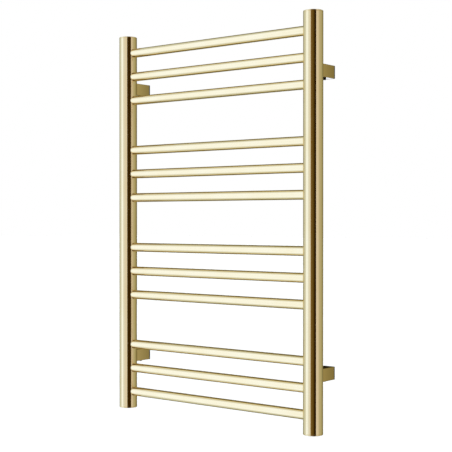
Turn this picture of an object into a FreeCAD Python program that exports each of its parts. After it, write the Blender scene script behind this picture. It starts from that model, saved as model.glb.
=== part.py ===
"""Wall-hung ladder towel warmer: two round posts, twelve cross tubes in four groups, on four square wall arms.

Frame: millimetres, +X to the right and +Z up as a person facing the rail sees it, +Y into the wall.
The origin is on the wall's surface, at the centre of the four fixing holes.
Hot water enters and leaves through a G1/2 thread in each post's bottom cap, and fills the posts and the tubes.
"""

import FreeCAD, Part
import math
import os

V = FreeCAD.Vector
X_AXIS, Y_AXIS, Z_AXIS = V(1, 0, 0), V(0, 1, 0), V(0, 0, 1)

# Overall sizes
HEIGHT = 800.0
WIDTH = 520.0
WALL_TO_POST = 56.0  # wall surface to the posts' axes, with the rail pushed fully on

# Tubes
POST_OD = 38.0
POST_WALL = 1.5
BAR_OD = 19.0
BAR_WALL = 1.2

# Ladder: groups of tubes, evenly pitched, with a wider gap between groups for towels
GROUPS = 4
BARS_PER_GROUP = 3
BAR_PITCH = 51.0
GROUP_GAP = 107.0  # from the last tube of one group to the first of the next

# Clearances
JOINT_GAP = 0.02  # brazed, pressed or screwed joints
RUNNING_GAP = 0.05  # pieces that turn or slide in each other
BODY_GAP = 0.3  # pieces that part when the rail is drawn off its arms

# End caps, all with a G1/2 female thread, drawn as a plain bore at its minor diameter
CAP_EDGE = 3.0
CAP_ROUNDING = 1.0
SEAM = 0.25  # chamfer on both sides of the seam between a cap and its post
CAP_SPIGOT = 9.0
INLET_SPIGOT = 12.0
THREAD_R = 18.63 / 2
COUNTERBORE_R = 13.2
COUNTERBORE_DEPTH = 2.6
SEAL_SEAT_R = 11.2
SEAL_SEAT_DEPTH = 1.7
O_RING_SECTION_R = 0.8

# Top plugs, set flush into the caps
PLUG_FLANGE_R = 13.0
PLUG_FLANGE = 2.2
PLUG_SHANK = 8.0
PLUG_CHAMFER = 0.4
PLUG_KEY_AF = 8.0
PLUG_KEY_DEPTH = 5.0
SPANNER_HOLE_R = 1.5
SPANNER_HOLE_DEPTH = 1.4
SPANNER_HOLE_AT = 9.5

# Bleed valve: an M5 screw over a soft seal in the middle of one plug
BLEED_R = 2.5
BLEED_LENGTH = 6.4
BLEED_BELOW_FLUSH = 0.5
BLEED_SLOT = 1.0
BLEED_SLOT_DEPTH = 1.3
BLEED_SEAL_R = 1.7
BLEED_SEAL_HEIGHT = 1.4
BLEED_STEM_R = 0.8
BLEED_STEM = 1.5
ORIFICE_R = 0.9
WEEP_R = 0.8
WEEP_AT = 5.6

# Wall brackets: a plate screwed to the wall, a square arm over it, and a block that grips the post's stud
BRACKET_SPACING = 578.0
ARM_SIDE = 25.0
ARM_WALL = 2.0
ARM_ROUNDING = 1.0
PLATE = 3.0
SPIGOT = 8.0
WALL_HOLE_R = 2.75
WALL_HOLE_SINK_R = 5.25
BLOCK_FRONT = -34.0
BLOCK_BACK = -12.0
STUD_R = 6.0
STUD_BACK = -12.5
STUD_CHAMFER = 1.0
STUD_FLAT = 5.0  # height of the flat below the stud's axis
STUD_FLAT_FRONT = -27.0
CLAMP_AT = -17.0
CLAMP_R = 3.0
CLAMP_PROUD = 3.0  # how far the clamp screw stands out under the arm
CLAMP_KEY_AF = 3.0
CLAMP_KEY_DEPTH = 3.4
CLAMP_CHAMFER = 0.5
PAD_R = 2.4
PAD_HEIGHT = 1.5
PAD_STEM_R = 1.2
PAD_STEM = 2.0
PLATE_SCREW_AT = -7.2
PLATE_SCREW_R = 2.0
PLATE_SCREW_HEAD_R = 3.6
PLATE_SCREW_HEAD = 1.8
PLATE_SCREW_TIP = -6.2
PLATE_SCREW_KEY_AF = 2.5
PLATE_SCREW_KEY_DEPTH = 1.6

POST_R = POST_OD / 2
BAR_R = BAR_OD / 2
POST_X = WIDTH / 2 - POST_R
POST_Y = -WALL_TO_POST
TOP = HEIGHT / 2
POST_INNER_R = POST_R - POST_WALL
# The tubes end just inside the posts' bores, so that water passes all round their ends.
BAR_END_INSET = math.sqrt(POST_INNER_R**2 - BAR_R**2) - 0.5
SPIGOT_SIDE = ARM_SIDE - 2 * ARM_WALL - 2 * JOINT_GAP

SIDES = {"left": -1, "right": 1}
LEVELS = {"upper": BRACKET_SPACING / 2, "lower": -BRACKET_SPACING / 2}


def cylinder(radius, length, base, direction):
    return Part.makeCylinder(radius, length, base, direction)


def block(x_size, z_size, y_front, y_back, x, z):
    """A box centred on (x, z), from y_front to y_back."""
    corner = V(x - x_size / 2, y_front, z - z_size / 2)
    return Part.makeBox(x_size, y_back - y_front, z_size, corner)


def hexagon(across_flats, depth, base, direction):
    """A hexagonal prism along +Z or -Z, from base."""
    radius = across_flats / math.sqrt(3)
    turns = [math.radians(60 * i) for i in range(7)]
    corners = [base + V(radius * math.cos(a), radius * math.sin(a), 0) for a in turns]
    return Part.Face(Part.makePolygon(corners)).extrude(direction * depth)


def circles_at(shape, radius, z):
    """The round edges of that radius that lie at that height."""
    return [
        e
        for e in shape.Edges
        if isinstance(e.Curve, Part.Circle)
        and abs(e.Curve.Radius - radius) < 1e-6
        and abs(e.Curve.Center.z - z) < 1e-6
    ]


def edges_along_y(shape):
    """The straight edges that run front to back."""
    return [
        e
        for e in shape.Edges
        if isinstance(e.Curve, Part.Line) and abs(e.tangentAt(e.FirstParameter).y) > 0.999
    ]


def bar_heights():
    """The tubes' heights, from the top down."""
    group = (BARS_PER_GROUP - 1) * BAR_PITCH
    span = GROUPS * group + (GROUPS - 1) * GROUP_GAP
    return [
        span / 2 - g * (group + GROUP_GAP) - i * BAR_PITCH
        for g in range(GROUPS)
        for i in range(BARS_PER_GROUP)
    ]


def post(side):
    """A post tube, with a row of holes for the cross tubes in its inner side."""
    foot = V(side * POST_X, POST_Y, CAP_EDGE - TOP)
    length = HEIGHT - 2 * CAP_EDGE
    tube = cylinder(POST_R, length, foot, Z_AXIS)
    ends = [circles_at(tube, POST_R, z)[0] for z in (CAP_EDGE - TOP, TOP - CAP_EDGE)]
    tube = tube.makeChamfer(SEAM, ends).cut(cylinder(POST_INNER_R, length, foot, Z_AXIS))
    holes = [
        cylinder(BAR_R + JOINT_GAP, POST_OD, V(side * POST_X, POST_Y, z), X_AXIS * -side)
        for z in bar_heights()
    ]
    return tube.cut(holes)


def bar(z):
    start = V(BAR_END_INSET - POST_X, POST_Y, z)
    length = 2 * (POST_X - BAR_END_INSET)
    outer = cylinder(BAR_R, length, start, X_AXIS)
    return outer.cut(cylinder(BAR_R - BAR_WALL, length, start, X_AXIS))


def cap_blank(side, end, spigot):
    """An end cap's outside: a disc with a rounded rim over a spigot in the tube. end is 1 at the top, -1 below."""
    axis = Z_AXIS * end
    seat = V(side * POST_X, POST_Y, end * (TOP - CAP_EDGE))
    disc = cylinder(POST_R, CAP_EDGE, seat, axis)
    disc = disc.makeFillet(CAP_ROUNDING, circles_at(disc, POST_R, end * TOP))
    disc = disc.makeChamfer(SEAM, circles_at(disc, POST_R, seat.z))
    plug = cylinder(POST_INNER_R - JOINT_GAP, spigot, seat - axis * spigot, axis)
    bore = cylinder(THREAD_R, spigot + CAP_EDGE, seat - axis * spigot, axis)
    return disc.fuse(plug).cut(bore).removeSplitter()


def top_cap(side):
    """A top cap, counterbored for a flush plug, with a seat for the plug's O-ring."""
    top = V(side * POST_X, POST_Y, TOP)
    counterbore = cylinder(COUNTERBORE_R, COUNTERBORE_DEPTH, top, -Z_AXIS)
    seat = cylinder(SEAL_SEAT_R, COUNTERBORE_DEPTH + SEAL_SEAT_DEPTH, top, -Z_AXIS)
    return cap_blank(side, 1, CAP_SPIGOT).cut([counterbore, seat])


def inlet_cap(side):
    return cap_blank(side, -1, INLET_SPIGOT)


def plug_flange_bottom():
    return TOP - COUNTERBORE_DEPTH + JOINT_GAP


def plug_blank(side):
    """A plug's outside: a thin flange, flush in the cap, over a threaded shank."""
    bottom = plug_flange_bottom()
    base = V(side * POST_X, POST_Y, bottom)
    flange = cylinder(PLUG_FLANGE_R, PLUG_FLANGE, base, Z_AXIS)
    rim = circles_at(flange, PLUG_FLANGE_R, bottom + PLUG_FLANGE)
    flange = flange.makeChamfer(PLUG_CHAMFER, rim)
    shank = cylinder(THREAD_R - JOINT_GAP, PLUG_SHANK, base, -Z_AXIS)
    return flange.fuse(shank).removeSplitter()


def o_ring(side):
    centre = V(side * POST_X, POST_Y, plug_flange_bottom() - O_RING_SECTION_R - RUNNING_GAP)
    return Part.makeTorus((THREAD_R + SEAL_SEAT_R) / 2, O_RING_SECTION_R, centre, Z_AXIS)


def blanking_plug(side):
    top = V(side * POST_X, POST_Y, plug_flange_bottom() + PLUG_FLANGE)
    return plug_blank(side).cut(hexagon(PLUG_KEY_AF, PLUG_KEY_DEPTH, top, -Z_AXIS))


def bleed_heights():
    """The bleed screw's top and bottom, and the bottom of the seal under it."""
    screw_top = plug_flange_bottom() + PLUG_FLANGE - BLEED_BELOW_FLUSH
    screw_bottom = screw_top - BLEED_LENGTH
    return screw_top, screw_bottom, screw_bottom - BLEED_SEAL_HEIGHT


def bleed_plug(side):
    """The plug that carries the bleed valve: screw bore, orifice, weep hole and two spanner holes."""
    flange_top = plug_flange_bottom() + PLUG_FLANGE
    seal_bottom = bleed_heights()[2]
    x = side * POST_X
    bore_depth = flange_top - seal_bottom + RUNNING_GAP
    bore = cylinder(BLEED_R + RUNNING_GAP, bore_depth, V(x, POST_Y, flange_top), -Z_AXIS)
    orifice = cylinder(ORIFICE_R, PLUG_SHANK + PLUG_FLANGE, V(x, POST_Y, flange_top), -Z_AXIS)
    weep_bottom = seal_bottom + WEEP_R
    weep = cylinder(WEEP_R, flange_top - weep_bottom, V(x, POST_Y - WEEP_AT, flange_top), -Z_AXIS)
    cross_hole = cylinder(WEEP_R, WEEP_AT, V(x, POST_Y, weep_bottom), -Y_AXIS)
    spanner_holes = [
        cylinder(SPANNER_HOLE_R, SPANNER_HOLE_DEPTH, V(x + d, POST_Y, flange_top), -Z_AXIS)
        for d in (-SPANNER_HOLE_AT, SPANNER_HOLE_AT)
    ]
    return plug_blank(side).cut([bore, orifice, weep, cross_hole] + spanner_holes)


def bleed_screw(side):
    top, bottom, _ = bleed_heights()
    x = side * POST_X
    body = cylinder(BLEED_R, top - bottom, V(x, POST_Y, bottom), Z_AXIS)
    slot = block(BLEED_SLOT, 2 * BLEED_SLOT_DEPTH, POST_Y - POST_R, POST_Y + POST_R, x, top)
    pocket_depth = BLEED_STEM + RUNNING_GAP
    pocket = cylinder(BLEED_STEM_R + RUNNING_GAP, pocket_depth, V(x, POST_Y, bottom), Z_AXIS)
    return body.cut([slot, pocket])


def bleed_seal(side):
    """The soft seal that the bleed screw presses on the orifice, with a stem in the screw's end."""
    _, screw_bottom, bottom = bleed_heights()
    foot = V(side * POST_X, POST_Y, bottom)
    disc = cylinder(BLEED_SEAL_R, BLEED_SEAL_HEIGHT - RUNNING_GAP, foot, Z_AXIS)
    stem = cylinder(BLEED_STEM_R, BLEED_SEAL_HEIGHT + BLEED_STEM - RUNNING_GAP, foot, Z_AXIS)
    return disc.fuse(stem).removeSplitter()


def wall_plate(x, z):
    """The plate against the wall, with a square spigot that the arm slips over."""
    plate = block(ARM_SIDE, ARM_SIDE, -PLATE, 0, x, z)
    plate = plate.makeFillet(ARM_ROUNDING, edges_along_y(plate))
    spigot = block(SPIGOT_SIDE, SPIGOT_SIDE, -PLATE - SPIGOT, -PLATE, x, z)
    hole = cylinder(WALL_HOLE_R, PLATE + SPIGOT, V(x, 0, z), -Y_AXIS)
    sink_depth = WALL_HOLE_SINK_R - WALL_HOLE_R
    front = V(x, -PLATE - SPIGOT, z)
    sink = Part.makeCone(WALL_HOLE_SINK_R, WALL_HOLE_R, sink_depth, front, Y_AXIS)
    thread_length = PLATE_SCREW_TIP + SPIGOT_SIDE / 2
    thread_start = V(x, PLATE_SCREW_AT, z - SPIGOT_SIDE / 2)
    thread = cylinder(PLATE_SCREW_R + JOINT_GAP, thread_length, thread_start, Z_AXIS)
    return plate.fuse(spigot).cut([hole, sink, thread])


def arm(side, z):
    """The square arm: coped round the post, open inside, with two screw holes in its underside."""
    x = side * POST_X
    tube = block(ARM_SIDE, ARM_SIDE, POST_Y, -PLATE - JOINT_GAP, x, z)
    tube = tube.makeFillet(ARM_ROUNDING, edges_along_y(tube))
    inside = ARM_SIDE - 2 * ARM_WALL
    hollow = block(inside, inside, POST_Y, 0, x, z)
    cope = cylinder(POST_R + BODY_GAP, ARM_SIDE + 2, V(x, POST_Y, z - ARM_SIDE / 2 - 1), Z_AXIS)
    underside = z - ARM_SIDE / 2
    clamp = cylinder(CLAMP_R + RUNNING_GAP, ARM_WALL, V(x, CLAMP_AT, underside), Z_AXIS)
    at = V(x, PLATE_SCREW_AT, underside)
    screw = cylinder(PLATE_SCREW_R + JOINT_GAP, ARM_WALL, at, Z_AXIS)
    head_r = PLATE_SCREW_HEAD_R + JOINT_GAP
    sink = Part.makeCone(head_r, PLATE_SCREW_R + JOINT_GAP, PLATE_SCREW_HEAD, at, Z_AXIS)
    return tube.cut([hollow, cope, clamp, screw, sink])


def clamp_block(x, z):
    """The block in the arm's nose: bored for the post's stud and tapped from below for the clamp screw."""
    body = block(SPIGOT_SIDE, SPIGOT_SIDE, BLOCK_FRONT, BLOCK_BACK, x, z)
    bore = cylinder(STUD_R + RUNNING_GAP, BLOCK_BACK - BLOCK_FRONT, V(x, BLOCK_FRONT, z), Y_AXIS)
    thread = cylinder(CLAMP_R + RUNNING_GAP, ARM_SIDE / 2, V(x, CLAMP_AT, z - ARM_SIDE / 2), Z_AXIS)
    return body.cut([bore, thread])


def post_stud(x, z):
    """The stud brazed to the back of the post, with a flat underneath for the clamp screw."""
    stud = cylinder(STUD_R, STUD_BACK - POST_Y, V(x, POST_Y, z), Y_AXIS)
    end = [
        e
        for e in stud.Edges
        if isinstance(e.Curve, Part.Circle) and abs(e.Curve.Center.y - STUD_BACK) < 1e-6
    ]
    stud = stud.makeChamfer(STUD_CHAMFER, end)
    saddle = cylinder(POST_R + JOINT_GAP, ARM_SIDE, V(x, POST_Y, z - ARM_SIDE / 2), Z_AXIS)
    flat_z = z - STUD_FLAT - STUD_R / 2
    flat = block(2 * STUD_R, STUD_R, STUD_FLAT_FRONT, STUD_BACK, x, flat_z)
    return stud.cut([saddle, flat])


def clamp_pad_bottom(z):
    return z - STUD_FLAT - RUNNING_GAP - PAD_HEIGHT


def clamp_pad(x, z):
    """The nylon tip that bears on the stud's flat, with a stem in the clamp screw's end."""
    foot = V(x, CLAMP_AT, clamp_pad_bottom(z))
    head = cylinder(PAD_R, PAD_HEIGHT, foot, Z_AXIS)
    return head.fuse(cylinder(PAD_STEM_R, PAD_STEM, foot, -Z_AXIS)).removeSplitter()


def clamp_screw(x, z):
    """The set screw under the arm: hexagon socket below, pocket for the pad's stem above."""
    top = clamp_pad_bottom(z) - RUNNING_GAP
    bottom = z - ARM_SIDE / 2 - CLAMP_PROUD
    body = cylinder(CLAMP_R, top - bottom, V(x, CLAMP_AT, bottom), Z_AXIS)
    body = body.makeChamfer(CLAMP_CHAMFER, circles_at(body, CLAMP_R, bottom))
    socket = hexagon(CLAMP_KEY_AF, CLAMP_KEY_DEPTH, V(x, CLAMP_AT, bottom), Z_AXIS)
    pocket = cylinder(PAD_STEM_R + RUNNING_GAP, PAD_STEM, V(x, CLAMP_AT, top), -Z_AXIS)
    return body.cut([socket, pocket])


def plate_screw(x, z):
    """The countersunk screw that holds the arm to the wall plate's spigot."""
    underside = z - ARM_SIDE / 2
    foot = V(x, PLATE_SCREW_AT, underside)
    head = Part.makeCone(PLATE_SCREW_HEAD_R, PLATE_SCREW_R, PLATE_SCREW_HEAD, foot, Z_AXIS)
    length = ARM_SIDE / 2 + PLATE_SCREW_TIP - JOINT_GAP
    socket = hexagon(PLATE_SCREW_KEY_AF, PLATE_SCREW_KEY_DEPTH, foot, Z_AXIS)
    return head.fuse(cylinder(PLATE_SCREW_R, length, foot, Z_AXIS)).cut(socket)


def ladder():
    """The posts, their caps and the cross tubes."""
    made = {f"bar_{n:02d}": bar(z) for n, z in enumerate(bar_heights(), 1)}
    for name, side in SIDES.items():
        made[f"post_{name}"] = post(side)
        made[f"cap_top_{name}"] = top_cap(side)
        made[f"cap_bottom_{name}"] = inlet_cap(side)
    return made


def plugs():
    """The bleed valve in the left post's top, and the blanking plug in the right one's."""
    left, right = SIDES["left"], SIDES["right"]
    return {
        "bleed_plug": bleed_plug(left),
        "bleed_screw": bleed_screw(left),
        "bleed_seal": bleed_seal(left),
        "bleed_o_ring": o_ring(left),
        "blanking_plug": blanking_plug(right),
        "blanking_o_ring": o_ring(right),
    }


def brackets():
    made = {}
    for level, z in LEVELS.items():
        for name, side in SIDES.items():
            x = side * POST_X
            corner = f"{level}_{name}"
            made[f"wall_plate_{corner}"] = wall_plate(x, z)
            made[f"arm_{corner}"] = arm(side, z)
            made[f"clamp_block_{corner}"] = clamp_block(x, z)
            made[f"post_stud_{corner}"] = post_stud(x, z)
            made[f"clamp_pad_{corner}"] = clamp_pad(x, z)
            made[f"clamp_screw_{corner}"] = clamp_screw(x, z)
            made[f"plate_screw_{corner}"] = plate_screw(x, z)
    return made


def main():
    os.makedirs("parts", exist_ok=True)
    for name, shape in {**ladder(), **plugs(), **brackets()}.items():
        solids = shape.Solids
        assert shape.isValid() and len(solids) == 1, f"{name}: {len(solids)} solids"
        solids[0].exportStep(f"parts/{name}.step")
        print(f"{name:28s} {solids[0].Volume / 1000:9.3f} cm3")


main()
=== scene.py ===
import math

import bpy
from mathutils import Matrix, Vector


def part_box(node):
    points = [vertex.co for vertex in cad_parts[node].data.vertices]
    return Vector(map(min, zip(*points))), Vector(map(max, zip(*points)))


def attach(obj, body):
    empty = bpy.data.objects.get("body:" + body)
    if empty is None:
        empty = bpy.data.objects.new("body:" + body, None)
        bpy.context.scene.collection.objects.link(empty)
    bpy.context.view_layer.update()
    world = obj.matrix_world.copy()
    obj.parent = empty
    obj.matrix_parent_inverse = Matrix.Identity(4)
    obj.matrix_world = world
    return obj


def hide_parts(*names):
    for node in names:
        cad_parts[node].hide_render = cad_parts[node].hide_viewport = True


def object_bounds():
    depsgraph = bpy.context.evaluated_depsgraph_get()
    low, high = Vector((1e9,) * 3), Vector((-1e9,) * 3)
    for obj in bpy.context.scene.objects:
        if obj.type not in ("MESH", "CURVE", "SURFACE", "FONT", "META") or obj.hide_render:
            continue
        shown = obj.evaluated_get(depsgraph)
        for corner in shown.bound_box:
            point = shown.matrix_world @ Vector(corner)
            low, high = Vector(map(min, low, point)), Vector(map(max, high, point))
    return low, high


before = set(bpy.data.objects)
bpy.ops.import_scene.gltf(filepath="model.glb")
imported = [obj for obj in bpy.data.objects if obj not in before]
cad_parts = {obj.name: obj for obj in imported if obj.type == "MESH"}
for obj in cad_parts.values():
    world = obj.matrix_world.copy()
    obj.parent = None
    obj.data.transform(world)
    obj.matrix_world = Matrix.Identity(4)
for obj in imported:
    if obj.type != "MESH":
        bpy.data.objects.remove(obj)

# The looks of a ladder towel warmer: satin brass tubes and wall arms, dark wall plates, black set screws.
# Everything is in metres, in the frame's axes: +X to the right, +Y into the wall, +Z up.

CAD_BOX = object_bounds()
MM = 0.001

# Camera
LOOK_AT = Vector((0.0304, -0.056, -0.0067))
CAMERA_AZIMUTH = math.radians(38.63)
CAMERA_ELEVATION = math.radians(0.373)
CAMERA_DISTANCE = 2.1485
LENS_MM = 85.1
SENSOR_MM = 36.0

# Stage
FLOOR_DROP = 0.25  # the rail hangs this far above the floor
FLOOR_SIZE = 60.0
FLOOR_COLOUR = (0.9, 0.9, 0.89, 1.0)
KEY_LIGHT = 1.85
KEY_LIGHT_ANGLE = math.radians(60)

# What the studio looks like from the rail: azimuth in degrees, from -Y towards +X, and colour
STUDIO = [
    (-180, (0.20, 0.17, 0.07)),
    (-112, (0.20, 0.18, 0.08)),
    (-104, (0.60, 0.70, 0.72)),
    (-72, (0.68, 0.77, 0.88)),
    (-58, (0.86, 0.99, 1.30)),
    (-47, (1.11, 1.32, 1.92)),
    (-35, (1.08, 1.28, 1.84)),
    (-24, (0.88, 1.02, 1.35)),
    (-10, (0.81, 0.88, 1.08)),
    (8, (0.80, 0.82, 0.94)),
    (30, (0.82, 0.83, 0.92)),
    (90, (0.75, 0.73, 0.79)),
    (100, (0.67, 0.65, 0.64)),
    (112, (0.53, 0.52, 0.45)),
    (137, (0.48, 0.48, 0.36)),
    (147, (0.41, 0.39, 0.24)),
    (162, (0.35, 0.35, 0.23)),
    (180, (0.20, 0.17, 0.07)),
]
OVERHEAD = (0.50, 0.48, 0.40, 1.0)
UNDERFOOT = (0.12, 0.09, 0.04, 1.0)
POLES_FROM = (0.82, 0.95)  # sines of the angles at which those two begin and are complete
# At the back left, the level faces of the arms see a light strip below and a dark one above, with soft sides.
BACK_STRIP_SIDES = (-153, -150, -143, -140)  # azimuths in degrees
BACK_STRIP_HEIGHTS = (0.06, 0.09, 0.20, 0.24)  # sines of the angle above or below the horizon
LOW_STRIP = (1.2, 1.35, 1.7, 1.0)
HIGH_STRIP = (0.02, 0.015, 0.005, 1.0)

# Two panels stand near the rail's right end. Only reflections show them.
# Each has its left and right edge in plan, and the colours there.
PANELS = {
    "black_panel": ((0.332, -1.04), (0.60, -0.204), (0.060, 0.034, 0.002, 1.0), (0.020, 0.007, 0.0, 1.0)),
    "brown_panel": ((0.257, -0.190), (0.329, -0.141), (0.235, 0.155, 0.055, 1.0), (0.070, 0.042, 0.002, 1.0)),
}
PANEL_HALF_HEIGHT = 3.0

# Brass
BRASS = (0.88, 0.70, 0.36, 1.0)
BRASS_WORN = (0.90, 0.74, 0.42, 1.0)
# The arms run from the first of these at the nose to the second at the wall: painted light at the nose and
# painted shade towards the wall, for the darker surroundings the arms mirror there.
ARM_NOSE_PAINTED_LIGHT = (0.80, 0.60, 0.27, 1.0)
ARM_WALL_PAINTED_SHADE = (0.48, 0.35, 0.14, 1.0)
PLAIN_BRASS = (0.74, 0.55, 0.24, 1.0)
PLAIN_BRASS_WORN = (0.66, 0.47, 0.20, 1.0)
FINE_LINES = 2600.0  # cycles per metre of the finest brushing and turning lines
GRAIN_IN_WEAR = 0.45  # the rest of the wear is smears
PATCHES_IN_FADE = 0.1

# Ladder, from the frame
RAIL = "rail"
BARS = sorted(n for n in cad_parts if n.startswith("bar_"))
SIDES = {"left": -1, "right": 1}
CORNERS = [f"{level}_{side}" for level in ("upper", "lower") for side in SIDES]


def centre(node):
    low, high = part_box(node)
    return (Vector(low) + Vector(high)) / 2


def half_size(node):
    low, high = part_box(node)
    return (Vector(high) - Vector(low)) / 2


POST_R = half_size("post_left").x
BAR_R = half_size("bar_01").z
POST_Y = centre("post_left").y


# ---------------------------------------------------------------- materials


class Nodes:
    """A short way to write a node tree."""

    def __init__(self, tree):
        self.tree = tree
        tree.nodes.clear()

    def add(self, kind, inputs=None, **settings):
        node = self.tree.nodes.new(kind)
        for key, value in settings.items():
            setattr(node, key, value)
        for key, value in (inputs or {}).items():
            if isinstance(value, bpy.types.NodeSocket):
                self.tree.links.new(value, node.inputs[key])
            else:
                node.inputs[key].default_value = value
        return node

    def math(self, operation, a, b=0.0):
        return self.add("ShaderNodeMath", {0: a, 1: b}, operation=operation).outputs[0]

    def place(self, scale, offset=(0, 0, 0)):
        """The point in the frame, in metres, moved by offset and then scaled."""
        point = self.add("ShaderNodeTexCoord").outputs["Object"]
        moved = self.add("ShaderNodeVectorMath", {0: point, 1: offset}, operation="ADD").outputs[0]
        scaled = self.add("ShaderNodeVectorMath", {0: moved, 1: scale}, operation="MULTIPLY")
        return scaled.outputs[0]

    def noise(self, vector, scale=1.0, detail=2.0, roughness=0.5):
        values = {"Vector": vector, "Scale": scale, "Detail": detail, "Roughness": roughness}
        return self.add("ShaderNodeTexNoise", values).outputs["Fac"]

    def spread(self, value, low, high, start=0.3, end=0.7):
        """value, from start to end, mapped to low to high."""
        values = {"Value": value, "From Min": start, "From Max": end, "To Min": low, "To Max": high}
        return self.add("ShaderNodeMapRange", values).outputs["Result"]

    def between(self, value, outside, inside, inside_end, outside_end):
        """1 where value is between inside and inside_end, falling to 0 at outside and outside_end."""
        rise = self.spread(value, 0.0, 1.0, outside, inside)
        return self.math("MULTIPLY", rise, self.spread(value, 1.0, 0.0, inside_end, outside_end))

    def mix(self, amount, a, b):
        node = self.add("ShaderNodeMix", data_type="RGBA")
        for socket, value in ((0, amount), (6, a), (7, b)):
            if isinstance(value, bpy.types.NodeSocket):
                self.tree.links.new(value, node.inputs[socket])
            else:
                node.inputs[socket].default_value = value
        return node.outputs[2]

    def bump(self, height, distance):
        values = {"Height": height, "Distance": distance, "Strength": 1.0}
        return self.add("ShaderNodeBump", values).outputs["Normal"]

    def surface(self, **inputs):
        """The shader and the output. Input names have _ for a space."""
        values = {key.replace("_", " "): value for key, value in inputs.items()}
        shader = self.add("ShaderNodeBsdfPrincipled", values)
        self.add("ShaderNodeOutputMaterial", {"Surface": shader.outputs[0]})


def new_material(name):
    material = bpy.data.materials.new(name)
    material.use_nodes = True
    return material, Nodes(material.node_tree)


def brushed_metal(name, lines, colours=(BRASS, BRASS_WORN), gloss=(0.05, 0.10), fade=None):
    """Satin metal. lines is how fast the brushing varies on each axis, in cycles per metre.

    fade is where the first colour passes to the second along the Y axis: a painted light-to-shade ramp, not a
    change in the metal. Without it the two are in patches.
    """
    material, n = new_material(name)
    grain = n.noise(n.place(lines), detail=3.0, roughness=0.6)
    patches = n.noise(n.place((1, 1, 1)), scale=18.0, detail=4.0)
    smears = n.noise(n.place((1, 1, 1)), scale=55.0, detail=2.0)
    blend = n.spread(n.math("ADD", grain, patches), 0.0, 1.0, start=0.7, end=1.3)
    # Along Y the colour is painted lighter at one end and darker at the other: painted light and shade.
    if fade is not None:
        depth = n.add("ShaderNodeSeparateXYZ", {0: n.place((1, 1, 1))}).outputs[1]
        patchy = n.math("MULTIPLY", blend, PATCHES_IN_FADE)
        blend = n.math("ADD", n.spread(depth, 0.0, 1 - PATCHES_IN_FADE, *fade), patchy)
    colour = n.mix(blend, *colours)
    grain_wear = n.math("MULTIPLY", grain, GRAIN_IN_WEAR)
    smear_wear = n.math("MULTIPLY", smears, 1 - GRAIN_IN_WEAR)
    n.surface(
        Base_Color=colour,
        Metallic=1.0,
        Roughness=n.spread(n.math("ADD", grain_wear, smear_wear), *gloss),
        Normal=n.bump(grain, distance=3e-7),
    )
    return material


def turned_metal(name, axis_x):
    """Metal faced on a lathe, with fine rings round the vertical axis at axis_x."""
    material, n = new_material(name)
    point = n.place((1, 1, 1), (-axis_x, -POST_Y, 0))
    parts = n.add("ShaderNodeSeparateXYZ", {0: point}).outputs
    flat = n.add("ShaderNodeCombineXYZ", {"X": parts[0], "Y": parts[1]}).outputs[0]
    radius = n.add("ShaderNodeVectorMath", {0: flat}, operation="LENGTH").outputs["Value"]
    fine_radius = n.math("MULTIPLY", radius, FINE_LINES)
    fine_height = n.math("MULTIPLY", parts[2], FINE_LINES)
    rings = n.add("ShaderNodeCombineXYZ", {"X": fine_radius, "Z": fine_height}).outputs[0]
    grain = n.noise(rings, detail=2.0)
    patches = n.noise(point, scale=60.0)
    blend = n.spread(n.math("ADD", grain, patches), 0.0, 1.0, start=0.7, end=1.3)
    n.surface(
        Base_Color=n.mix(blend, BRASS, BRASS_WORN),
        Metallic=1.0,
        Roughness=n.spread(grain, 0.14, 0.24),
        Normal=n.bump(grain, distance=3e-6),
    )
    return material


def powder_coat(name):
    """Dark bronze paint with a fine orange peel, a little rubbed."""
    material, n = new_material(name)
    peel = n.noise(n.place((1, 1, 1)), scale=900.0, detail=2.0)
    rubbed = n.noise(n.place((1, 1, 1)), scale=120.0, detail=3.0)
    colour = n.mix(n.spread(rubbed, 0.0, 1.0), (0.045, 0.036, 0.024, 1.0), (0.075, 0.060, 0.040, 1.0))
    n.surface(
        Base_Color=colour,
        Roughness=n.spread(rubbed, 0.36, 0.5),
        Normal=n.bump(peel, distance=2e-5),
    )
    return material


def black_oxide(name):
    """Blackened steel, oily and slightly brown where handled."""
    material, n = new_material(name)
    patches = n.noise(n.place((1, 1, 1)), scale=420.0, detail=4.0)
    fine = n.noise(n.place((1, 1, 1)), scale=3500.0, detail=2.0)
    colour = n.mix(n.spread(patches, 0.0, 1.0), (0.010, 0.010, 0.011, 1.0), (0.028, 0.024, 0.020, 1.0))
    n.surface(
        Base_Color=colour,
        Metallic=0.6,
        Roughness=n.spread(patches, 0.3, 0.46),
        Normal=n.bump(fine, distance=4e-6),
    )
    return material


def bright_steel(name):
    material, n = new_material(name)
    fine = n.noise(n.place((900, 900, 4000)), detail=2.0)
    colour = n.mix(n.spread(fine, 0.0, 1.0), (0.60, 0.60, 0.59, 1.0), (0.72, 0.71, 0.69, 1.0))
    n.surface(
        Base_Color=colour,
        Metallic=1.0,
        Roughness=n.spread(fine, 0.2, 0.32),
        Normal=n.bump(fine, distance=2e-6),
    )
    return material


def soft_solid(name, dark, light, roughness, scale):
    """Nylon or rubber: matt, faintly mottled and pitted."""
    material, n = new_material(name)
    mottle = n.noise(n.place((1, 1, 1)), scale=scale, detail=4.0)
    pits = n.noise(n.place((1, 1, 1)), scale=scale * 6, detail=2.0)
    n.surface(
        Base_Color=n.mix(n.spread(mottle, 0.0, 1.0), dark, light),
        Roughness=n.spread(mottle, roughness - 0.06, roughness + 0.06),
        Normal=n.bump(pits, distance=1e-5),
    )
    return material


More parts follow.
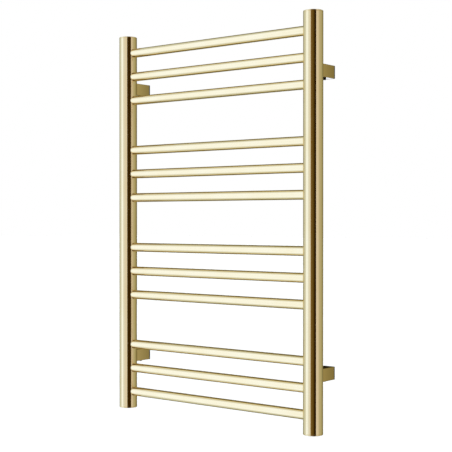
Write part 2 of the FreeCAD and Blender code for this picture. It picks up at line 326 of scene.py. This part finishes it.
# Brushing runs round the tubes, so it varies along their length.
POST_BRASS = brushed_metal("post_brass", lines=(30, 30, FINE_LINES))
BAR_BRASS = brushed_metal("bar_brass", lines=(FINE_LINES, 30, 30))
# The arms' brass is painted lighter at the nose and darker towards the wall: painted light and shade. The
# plate screws share it.
ARM_PAINTED_LIGHT_AND_SHADE = (ARM_NOSE_PAINTED_LIGHT, ARM_WALL_PAINTED_SHADE)
ARM_BRASS_PAINTED_SHADING = brushed_metal("arm_brass_painted_shading", lines=(2200, 40, 2200), colours=ARM_PAINTED_LIGHT_AND_SHADE, fade=(-0.048, 0.0))
BLOCK_COLOURS = (PLAIN_BRASS, PLAIN_BRASS_WORN)
BLOCK_BRASS = brushed_metal("block_brass", lines=(300, 2400, 300), colours=BLOCK_COLOURS, gloss=(0.25, 0.4))
CAP_BRASS = {side: turned_metal(f"cap_brass_{side}", centre(f"post_{side}").x) for side in SIDES}
DARK_PLATE = powder_coat("dark_plate")
BLACK_STEEL = black_oxide("black_oxide_steel")
BRIGHT_STEEL = bright_steel("bright_steel")
NYLON_COLOURS = ((0.70, 0.68, 0.60, 1.0), (0.80, 0.78, 0.72, 1.0))
NYLON = soft_solid("nylon", *NYLON_COLOURS, roughness=0.5, scale=600.0)
RUBBER_COLOURS = ((0.012, 0.012, 0.012, 1.0), (0.028, 0.027, 0.026, 1.0))
RUBBER = soft_solid("rubber", *RUBBER_COLOURS, roughness=0.62, scale=900.0)

# The first prefix that a node's name starts with gives its material.
FINISHES = {
    "bar_": BAR_BRASS,
    "post_stud_": BLOCK_BRASS,
    "post_": POST_BRASS,
    "cap_top_left": CAP_BRASS["left"],
    "cap_top_right": CAP_BRASS["right"],
    "cap_bottom_left": CAP_BRASS["left"],
    "cap_bottom_right": CAP_BRASS["right"],
    "bleed_plug": CAP_BRASS["left"],
    "blanking_plug": CAP_BRASS["right"],
    "bleed_screw": BRIGHT_STEEL,
    "bleed_seal": RUBBER,
    "bleed_o_ring": RUBBER,
    "blanking_o_ring": RUBBER,
    "arm_": ARM_BRASS_PAINTED_SHADING,
    "clamp_block_": BLOCK_BRASS,
    "clamp_pad_": NYLON,
    "clamp_screw_": BLACK_STEEL,
    "plate_screw_": ARM_BRASS_PAINTED_SHADING,
    "wall_plate_": DARK_PLATE,
}


def finish_of(node):
    return next(material for prefix, material in FINISHES.items() if node.startswith(prefix))


def paint(piece, material):
    piece.data.materials.clear()
    piece.data.materials.append(material)


# ---------------------------------------------------------------- pieces

SHARP_EDGE = math.radians(35)


def mesh_piece(name, vertices, faces, material, body):
    """A mesh object that rides on a body."""
    mesh = bpy.data.meshes.new(name)
    mesh.from_pydata(vertices, [], faces)
    mesh.validate()
    mesh.shade_smooth()
    mesh.set_sharp_from_angle(angle=SHARP_EDGE)
    piece = bpy.data.objects.new(name, mesh)
    bpy.context.scene.collection.objects.link(piece)
    paint(piece, material)
    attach(piece, body)
    return piece


def grid_faces(rows, columns, close_rows=False):
    """Quads between successive rows of points, each row closed into a ring."""
    faces = []
    for i in range(rows if close_rows else rows - 1):
        below, above = i * columns, (i + 1) % rows * columns
        for j in range(columns):
            k = (j + 1) % columns
            faces.append((below + j, below + k, above + k, above + j))
    return faces


# Brazing: a small concave fillet where each tube meets a post
BRAZE_R = 0.9 * MM
BRAZE_SINK = 0.03 * MM
BRAZE_ARC = 5
BRAZE_ROUND = 72


def braze_ring(side, post_x, z):
    """Rows of points round one joint. Each row is a corner buried in the metal, then the fillet's arc."""
    rows = []
    for j in range(BRAZE_ROUND):
        angle = 2 * math.pi * j / BRAZE_ROUND
        across, up = math.cos(angle), math.sin(angle)
        inward = math.sqrt(POST_R**2 - (BAR_R * across) ** 2)
        corner = Vector((post_x - side * inward, POST_Y + BAR_R * across, z + BAR_R * up))
        bar_normal = Vector((0, across, up))
        post_normal = Vector((-side * inward, BAR_R * across, 0)) / POST_R
        ball = corner + (bar_normal + post_normal) * BRAZE_R / (1 + bar_normal.dot(post_normal))
        row = [corner - (bar_normal + post_normal) * 2 * BRAZE_SINK]
        for k in range(BRAZE_ARC):
            towards = bar_normal.lerp(post_normal, k / (BRAZE_ARC - 1)).normalized()
            row.append(ball - towards * (BRAZE_R + (BRAZE_SINK if k in (0, BRAZE_ARC - 1) else 0)))
        rows.append(row)
    return rows


def brazing(side_name):
    side = SIDES[side_name]
    post_x = centre(f"post_{side_name}").x
    vertices, faces = [], []
    for node in BARS:
        first = len(vertices)
        rows = braze_ring(side, post_x, centre(node).z)
        vertices += [point for row in rows for point in row]
        columns = BRAZE_ARC + 1
        ring = grid_faces(BRAZE_ROUND, columns, close_rows=True)
        faces += [tuple(first + v for v in (face if side > 0 else face[::-1])) for face in ring]
    mesh_piece(f"brazing_{side_name}", vertices, faces, POST_BRASS, RAIL)


# Threads and sockets
ROUND_STEPS = 72  # a multiple of 6, so that hexagons keep their corners
THREAD_ROWS_PER_TURN = 9
THREAD_CREST = 0.1  # half the width of a crest, in pitches
THREAD_FLANK = 0.4  # the width of a flank, in pitches
THREAD_FADE = 0.5  # turns over which each end fades out


def hexagon_radius(across_flats, angle):
    return across_flats / 2 / math.cos(angle % (math.pi / 3) - math.pi / 6)


def circle_row(radius, height):
    return [(radius, height)] * ROUND_STEPS


def hexagon_row(across_flats, height):
    return [(hexagon_radius(across_flats, 2 * math.pi * j / ROUND_STEPS), height) for j in range(ROUND_STEPS)]


def thread_rows(start, end, pitch, valley, crest):
    """Rows of a right-hand thread from height start to height end."""
    count = round(abs(end - start) / pitch * THREAD_ROWS_PER_TURN)
    rows = []
    for i in range(count + 1):
        height = start + (end - start) * i / count
        fade = min(1.0, min(i, count - i) / THREAD_ROWS_PER_TURN / THREAD_FADE)
        row = []
        for j in range(ROUND_STEPS):
            phase = (height / pitch - j / ROUND_STEPS) % 1.0
            from_crest = abs(phase - 0.5) - THREAD_CREST
            ridge = min(1.0, max(0.0, 1.0 - from_crest / THREAD_FLANK))
            row.append((valley + (crest - valley) * ridge * fade, height))
        rows.append(row)
    return rows


def lathe(name, rows, x, y, material, body, loop=False):
    """A turned piece round the vertical axis at x, y. With loop, the last row joins the first."""
    vertices = []
    for row in rows:
        for j, (radius, height) in enumerate(row):
            angle = 2 * math.pi * j / ROUND_STEPS
            vertices.append((x + radius * math.cos(angle), y + radius * math.sin(angle), height))
    faces = grid_faces(len(rows), ROUND_STEPS, close_rows=loop)
    if not loop:
        last = (len(rows) - 1) * ROUND_STEPS
        faces.append(tuple(reversed(range(ROUND_STEPS))))
        faces.append(tuple(range(last, last + ROUND_STEPS)))
    return mesh_piece(name, vertices, faces, material, body)


SCREW_PITCH = 1.0 * MM
SCREW_DEPTH = 0.55 * MM
SCREW_KEY = 3.0 * MM
SCREW_SOCKET = 3.4 * MM
SCREW_SOCKET_LEAD = 0.15 * MM
SCREW_SOCKET_MOUTH_R = 0.61 * SCREW_KEY
SCREW_DRILL_TIP = 0.25 * MM
SCREW_DRILL_TIP_R = 0.3 * SCREW_KEY
SCREW_CHAMFER = 0.5 * MM
SCREW_RUN_IN = 0.3 * MM
SCREW_THREAD_SHOWN = 3.2 * MM


def clamp_screw(corner):
    """The set screw under an arm, with its thread and its hexagon socket."""
    node = f"clamp_screw_{corner}"
    middle, half = centre(node), half_size(node)
    bottom, top, radius = middle.z - half.z, middle.z + half.z, half.x
    valley = radius - SCREW_DEPTH
    shoulder = bottom + SCREW_CHAMFER
    thread_ends = (shoulder - SCREW_RUN_IN, shoulder + SCREW_THREAD_SHOWN)
    rows = [circle_row(SCREW_DRILL_TIP_R, bottom + SCREW_SOCKET + SCREW_DRILL_TIP)]
    rows.append(hexagon_row(SCREW_KEY, bottom + SCREW_SOCKET))
    rows.append(hexagon_row(SCREW_KEY, bottom + SCREW_SOCKET_LEAD))
    rows.append(circle_row(SCREW_SOCKET_MOUTH_R, bottom))
    rows.append(circle_row(valley, bottom))
    rows += thread_rows(*thread_ends, SCREW_PITCH, valley, radius)
    rows.append(circle_row(valley, top))
    piece = lathe(f"{node}_threaded", rows, middle.x, middle.y, BLACK_STEEL, node)
    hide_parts(node)


INLET_PITCH = 1.814 * MM
INLET_VALLEY = 10.4 * MM
INLET_CREST = 9.33 * MM
INLET_MOUTH = 10.9 * MM
CAP_EDGE = 3.0 * MM
CAP_ROUNDING = 1.0 * MM
CAP_SEAM = 0.25 * MM
CAP_SPIGOT_R = 17.48 * MM
ROUNDING_STEPS = 6


def inlet_cap(side_name):
    """A bottom cap with a rounded rim and a G1/2 thread."""
    node = f"cap_bottom_{side_name}"
    middle, half = centre(node), half_size(node)
    bottom, top, radius = middle.z - half.z, middle.z + half.z, half.x
    seat = bottom + CAP_EDGE
    rows = [circle_row(CAP_SPIGOT_R, top), circle_row(CAP_SPIGOT_R, seat)]
    rows += [circle_row(radius - CAP_SEAM, seat), circle_row(radius, seat - CAP_SEAM)]
    for i in range(ROUNDING_STEPS + 1):
        turn = math.pi / 2 * i / ROUNDING_STEPS
        rim = radius - CAP_ROUNDING + CAP_ROUNDING * math.cos(turn)
        rows.append(circle_row(rim, bottom + CAP_ROUNDING - CAP_ROUNDING * math.sin(turn)))
    rows.append(circle_row(INLET_MOUTH, bottom))
    lead_in = bottom + INLET_MOUTH - INLET_VALLEY
    rows += thread_rows(lead_in, top, INLET_PITCH, INLET_VALLEY, INLET_CREST)
    name, metal = f"{node}_threaded", CAP_BRASS[side_name]
    piece = lathe(name, rows[::-1], middle.x, middle.y, metal, RAIL, loop=True)
    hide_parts(node)


# ---------------------------------------------------------------- stage


def add_floor():
    low = CAD_BOX[0][2] - FLOOR_DROP
    half = FLOOR_SIZE / 2
    mesh = bpy.data.meshes.new("floor")
    corners = [(-half, -half, low), (half, -half, low), (half, half, low), (-half, half, low)]
    mesh.from_pydata(corners, [], [(0, 1, 2, 3)])
    floor = bpy.data.objects.new("floor", mesh)
    bpy.context.scene.collection.objects.link(floor)
    material, n = new_material("floor_paper")
    n.surface(Base_Color=FLOOR_COLOUR, Roughness=0.9, Specular_IOR_Level=0.0)
    paint(floor, material)
    floor.visible_glossy = False


def add_key_light():
    """A broad soft light from above. It lights the floor; the metal mirrors the studio round it."""
    light = bpy.data.lights.new("key_light", "SUN")
    light.energy = KEY_LIGHT
    light.angle = KEY_LIGHT_ANGLE
    lamp = bpy.data.objects.new("key_light", light)
    lamp.visible_glossy = False
    bpy.context.scene.collection.objects.link(lamp)


def add_studio():
    """White to the camera. Everything else sees light and dark panels standing round the rail."""
    world = bpy.data.worlds.new("studio")
    world.use_nodes = True
    bpy.context.scene.world = world
    n = Nodes(world.node_tree)
    direction = n.add("ShaderNodeTexCoord").outputs["Generated"]
    parts = n.add("ShaderNodeSeparateXYZ", {0: direction}).outputs
    azimuth = n.math("ARCTAN2", parts[0], n.math("MULTIPLY", parts[1], -1.0))
    around = n.spread(azimuth, 0.0, 1.0, -math.pi, math.pi)
    panels = n.add("ShaderNodeValToRGB", {"Fac": around})
    ramp = panels.color_ramp
    while len(ramp.elements) < len(STUDIO):
        ramp.elements.new(1.0)
    for element, (degrees, colour) in zip(ramp.elements, STUDIO):
        element.position = (degrees + 180) / 360
        element.color = (*colour, 1.0)
    behind = n.between(azimuth, *(math.radians(degrees) for degrees in BACK_STRIP_SIDES))
    up, down = parts[2], n.math("MULTIPLY", parts[2], -1.0)
    low = n.between(down, *BACK_STRIP_HEIGHTS)
    high = n.between(up, *BACK_STRIP_HEIGHTS)
    seen = n.mix(n.math("MULTIPLY", low, behind), panels.outputs["Color"], LOW_STRIP)
    seen = n.mix(n.math("MULTIPLY", high, behind), seen, HIGH_STRIP)
    seen = n.mix(n.spread(up, 0.0, 1.0, *POLES_FROM), seen, OVERHEAD)
    seen = n.mix(n.spread(down, 0.0, 1.0, *POLES_FROM), seen, UNDERFOOT)
    camera_ray = n.add("ShaderNodeLightPath").outputs["Is Camera Ray"]
    colour = n.mix(camera_ray, seen, (1.0, 1.0, 1.0, 1.0))
    background = n.add("ShaderNodeBackground", {"Color": colour, "Strength": 1.0})
    n.add("ShaderNodeOutputWorld", {"Surface": background.outputs[0]})


def add_panel(name, left, right, left_colour, right_colour):
    tall = PANEL_HALF_HEIGHT
    corners = [(*left, -tall), (*right, -tall), (*right, tall), (*left, tall)]
    mesh = bpy.data.meshes.new(name)
    mesh.from_pydata(corners, [], [(0, 1, 2, 3)])
    panel = bpy.data.objects.new(name, mesh)
    bpy.context.scene.collection.objects.link(panel)
    material, n = new_material(name)
    across = n.add("ShaderNodeSeparateXYZ", {0: n.place((1, 1, 1))}).outputs[0]
    colour = n.mix(n.spread(across, 0.0, 1.0, left[0], right[0]), left_colour, right_colour)
    glow = n.add("ShaderNodeEmission", {"Color": colour})
    n.add("ShaderNodeOutputMaterial", {"Surface": glow.outputs[0]})
    paint(panel, material)
    panel.visible_camera = False
    panel.visible_diffuse = False
    panel.visible_shadow = False


def add_camera():
    data = bpy.data.cameras.new("camera")
    data.lens = LENS_MM
    data.sensor_width = SENSOR_MM
    camera = bpy.data.objects.new("camera", data)
    level = math.cos(CAMERA_ELEVATION)
    right, back = math.sin(CAMERA_AZIMUTH) * level, math.cos(CAMERA_AZIMUTH) * level
    away = Vector((right, -back, math.sin(CAMERA_ELEVATION)))
    camera.location = LOOK_AT + away * CAMERA_DISTANCE
    camera.rotation_euler = (-away).to_track_quat("-Z", "Y").to_euler()
    bpy.context.scene.collection.objects.link(camera)
    bpy.context.scene.camera = camera


for node_name, node_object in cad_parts.items():
    paint(node_object, finish_of(node_name))
for side_name in SIDES:
    brazing(side_name)
    inlet_cap(side_name)
for corner_name in CORNERS:
    clamp_screw(corner_name)
add_camera()
add_floor()
add_key_light()
add_studio()
for panel_name, panel_facts in PANELS.items():
    add_panel(panel_name, *panel_facts)
bpy.context.scene.view_settings.view_transform = "Standard"
